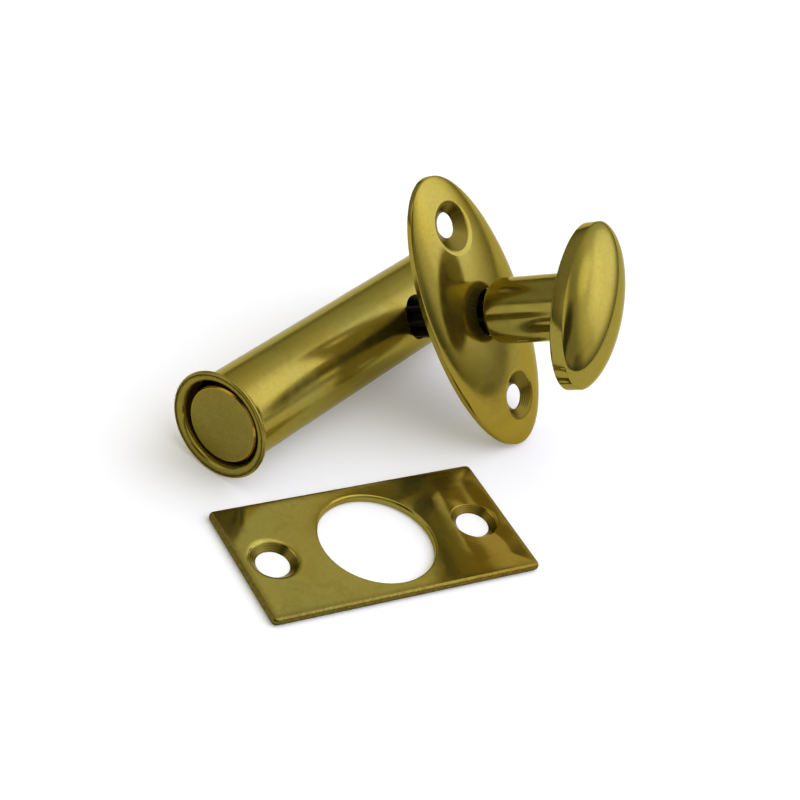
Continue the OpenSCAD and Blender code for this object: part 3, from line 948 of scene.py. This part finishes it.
# Azimuth, elevation, inner and outer angle, and what is added there
SKY_PATCHES = (
    (143, 42, 8, 75, 0.75),
    (143, 40, 4, 42, 0.85),
    (-43, 28, 8, 28, 0.75),
    (-130, 50, 15, 50, 0.12),
    (0, 90, 5, 40, 0.1),
    (-6, 20, 7, 22, -0.48),
    (-3, 43, 6, 21, -0.45),
    (65, 10, 5, 24, -0.32),
    (35, 42, 12, 40, -0.1),
    (-100, 15, 12, 40, -0.1),
    (98, 62, 6, 36, 0.32),
    (-155, 42, 8, 30, -0.15),
    (60, 84, 4, 20, 0.7),
)
KEY_PATCH = (143, 42, 8, 65, 1)
# Levels near the horizon, and the heights, as sines of the elevation, between which they fade
HORIZON_GREY = 0.16
HORIZON_LOW = 0.06
HORIZON_HIGH = 0.27
FAR_WHITE = 1.1
FAR_WHITE_TOP = 0.04


def direction(azimuth, elevation):
    """Unit vector, azimuth in degrees from -Y towards +X, elevation above the floor."""
    a, e = math.radians(azimuth), math.radians(elevation)
    return Vector((math.sin(a) * math.cos(e), -math.cos(a) * math.cos(e), math.sin(e)))


def add_lamp(name, azimuth, elevation, distance, width, height, radiance, tint):
    """Oblong lamp facing the object, as bright in reflections as its radiance. Lengths are in metres."""
    data = bpy.data.lights.new(name, "AREA")
    data.shape = "RECTANGLE"
    data.size, data.size_y = width, height
    data.energy = radiance * math.pi * width * height
    data.color = tint
    lamp = bpy.data.objects.new(name, data)
    bpy.context.scene.collection.objects.link(lamp)
    way = direction(azimuth, elevation)
    lamp.location = way * distance
    lamp.rotation_euler = (-way).to_track_quat("-Z", "Y").to_euler()
    lamp.visible_camera = False


def add_floor():
    """Plain pale floor, lifted a little towards white where it is looked at, with the shadow kept."""
    mesh = bpy.data.meshes.new("floor")
    corners = [(x * FLOOR_REACH, y * FLOOR_REACH, 0) for x, y in ((-1, -1), (1, -1), (1, 1), (-1, 1))]
    mesh.from_pydata(corners, [], [(0, 1, 2, 3)])
    object_of(mesh, floor_material())


def add_world():
    """Grey surroundings with soft light and dark patches, and a white band that ends the far floor."""
    world = bpy.data.worlds.new("world")
    bpy.context.scene.world = world
    world.use_nodes = True
    n = Nodes(world.node_tree)
    background = n.tree.nodes["Background"]
    place = n.add("ShaderNodeTexCoord").outputs["Generated"]

    def lobe(azimuth, elevation, inner, outer, gain):
        """A soft round patch of the sky: gain inside the inner angle, nothing past the outer one."""
        nearness = n.vector_math("DOT_PRODUCT", place, direction(azimuth, elevation)).outputs["Value"]
        limits = (math.cos(math.radians(outer)), math.cos(math.radians(inner)))
        return n.ramp(nearness, *limits, 0, gain, interpolation_type="SMOOTHSTEP")

    total = WORLD_GREY
    for patch in SKY_PATCHES:
        total = n.math("ADD", lobe(*patch), total)
    height = n.add("ShaderNodeSeparateXYZ", {0: place}).outputs["Z"]
    sky = n.math("MULTIPLY", total, n.ramp(height, HORIZON_LOW, HORIZON_HIGH, HORIZON_GREY, 1))
    far_floor = n.ramp(height, FAR_WHITE_TOP, HORIZON_LOW, FAR_WHITE, 0)
    n.feed(background.inputs["Strength"], n.math("MAXIMUM", sky, far_floor))
    n.feed(background.inputs["Color"], n.mix(lobe(*KEY_PATCH), WORLD_TINT, KEY_TINT))


def add_camera():
    """The rows of the fitted turn are the camera's right, down and forward."""
    turn = Vector(CAMERA_TURN)
    right, down, ahead = Matrix.Rotation(turn.length, 3, turn.normalized())
    data = bpy.data.cameras.new("camera")
    data.sensor_width = SENSOR_MM
    data.lens = FOCAL_PIXELS / IMAGE_PIXELS * data.sensor_width
    data.clip_start = NEAREST_SEEN
    camera = bpy.data.objects.new("camera", data)
    bpy.context.scene.collection.objects.link(camera)
    basis = Matrix((right, -down, -ahead)).transposed().to_4x4()
    camera.matrix_world = Matrix.Translation(Vector(CAMERA_PLACE)) @ basis
    bpy.context.scene.camera = camera


add_floor()
add_world()
add_lamp(
    "key", azimuth=143, elevation=44, distance=0.75, width=0.95, height=0.62, radiance=0.2, tint=KEY_TINT,
)
add_camera()
bpy.context.scene.view_settings.view_transform = "Standard"
